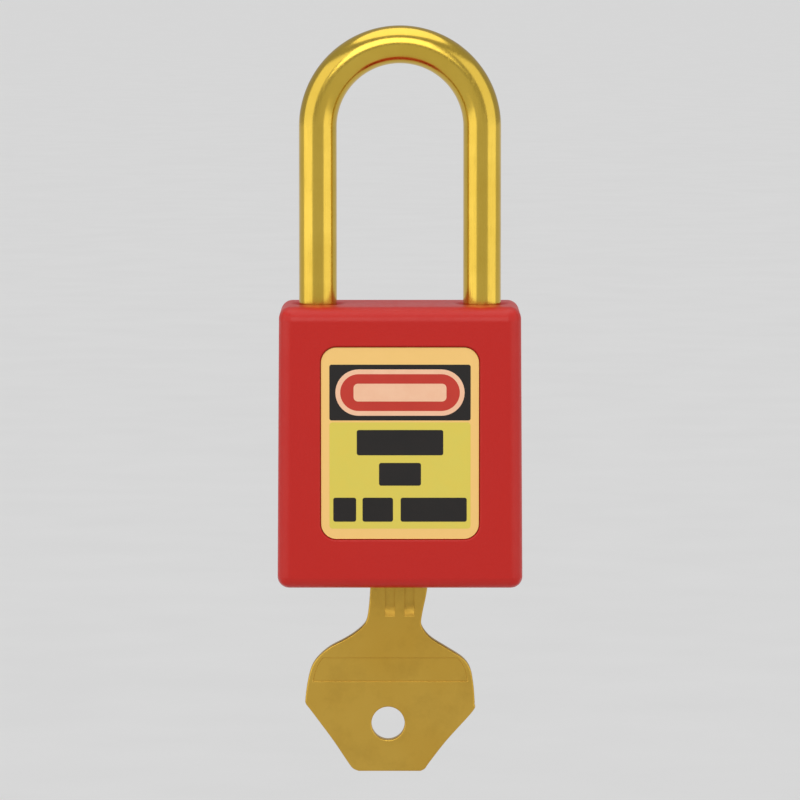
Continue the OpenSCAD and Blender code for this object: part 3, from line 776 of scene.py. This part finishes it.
# ---------------------------------------------------------------- build
case_piece()
label_pieces(-1, "front_label", "label_front")
label_pieces(1, "back_label", "label_back")
shackle_piece()
key_piece()
cover_piece()
rivet_pieces()
spring_piece("shackle_spring", 0, 2, 0.4, 6, steps=36, sides=12)
for i in range(1, 7):
    spring_piece(f"driver_spring_{i}", 2, 0, 0.16, 7)

# CAD pieces that stay as they are, with their materials
CARRIED = {
    "lock_frame": ZINC, "cylinder_housing": BARREL_BRASS, "housing_pin": GROUND,
    "chamber_strip": BARREL_BRASS, "heel_pin": GROUND, "plug": PLUG_BRASS, "plug_clip": WIRE,
    "scroll_cam": ZINC,
    "heel_pawl": SINTERED, "toe_pawl": SINTERED,
}
for i in range(1, 7):
    CARRIED[f"key_pin_{i}"] = PLUG_BRASS
    CARRIED[f"driver_pin_{i}"] = GROUND
for name, material in CARRIED.items():
    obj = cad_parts[name]
    if not obj.material_slots:
        obj.data.materials.append(material)
    for s in obj.material_slots:
        s.material = material


# ---------------------------------------------------------------- stage, lights, camera
low, high = (Vector(v) for v in cad_bounds)
middle = (low + high) / 2
# The key comes 27 mm further down when it is drawn out, and stays clear of the floor.
FLOOR_DROP = 0.045
FLOOR_Z = low.z - FLOOR_DROP
FLOOR_R = 30.0
rim = [(x, y, FLOOR_Z) for x, y in circle(FLOOR_R, 64)]
floor = new_piece("floor", rim, [range(len(rim))])
paper = Nodes("paper")
cloud = paper.ramp(paper.noise(30, 3, 0.5), 0.3, 0.7)
paper_colour = paper.mix(cloud, (0.88, 0.875, 0.865, 1), (0.86, 0.855, 0.845, 1))
paper.link(paper_colour, paper.shader.inputs["Base Color"])
paper.set(Roughness=0.9, Specular_IOR_Level=0.1)
floor.data.materials.append(paper.material)

# The panels light the padlock alone, so that the floor is even from every side.
no_floor = bpy.data.collections.new("not_the_floor")
no_floor.objects.link(floor)
no_floor.collection_objects[0].light_linking.link_state = "EXCLUDE"


def softbox(name, at, size, power, colour=(1, 1, 1)):
    light = bpy.data.lights.new(name, "AREA")
    light.shape = "RECTANGLE"
    light.size, light.size_y = size
    light.energy = power
    light.color = colour
    obj = bpy.data.objects.new(name, light)
    bpy.context.scene.collection.objects.link(obj)
    obj.location = at
    obj.rotation_euler = (middle - Vector(at)).to_track_quat("-Z", "Y").to_euler()
    obj.light_linking.receiver_collection = no_floor


softbox("left_panel", (-0.535, -0.272, 0.06), (0.70, 0.85), 1.6, (1.0, 0.985, 0.96))
softbox("right_panel", (0.535, -0.272, 0.06), (0.66, 0.85), 1.35, (0.99, 0.99, 1.0))
softbox("front_panel", (-0.05, -0.58, 0.30), (0.45, 0.34), 1.05)

ceiling = bpy.data.lights.new("ceiling", "SUN")
ceiling.energy = 1.1
ceiling.angle = math.radians(60)
ceiling_light = bpy.data.objects.new("ceiling", ceiling)
bpy.context.scene.collection.objects.link(ceiling_light)

world = bpy.data.worlds.new("studio")
bpy.context.scene.world = world
world.use_nodes = True
world.node_tree.nodes["Background"].inputs["Color"].default_value = (0.97, 0.98, 1.0, 1)
world.node_tree.nodes["Background"].inputs["Strength"].default_value = 0.45

camera_data = bpy.data.cameras.new("camera")
camera = bpy.data.objects.new("camera", camera_data)
bpy.context.scene.collection.objects.link(camera)
bpy.context.scene.camera = camera
SENSOR = 36
MARGIN = 1.07
camera_data.sensor_width = SENSOR
camera_data.clip_start = 0.01
distance, elevation = 0.85, math.radians(5.0)
span = (high.z - low.z) * MARGIN
camera_data.lens = SENSOR * distance / span
camera.location = middle + Vector((0, -distance * math.cos(elevation), distance * math.sin(elevation)))
camera.rotation_euler = (middle - camera.location).to_track_quat("-Z", "Y").to_euler()
bpy.context.scene.view_settings.view_transform = "Standard"
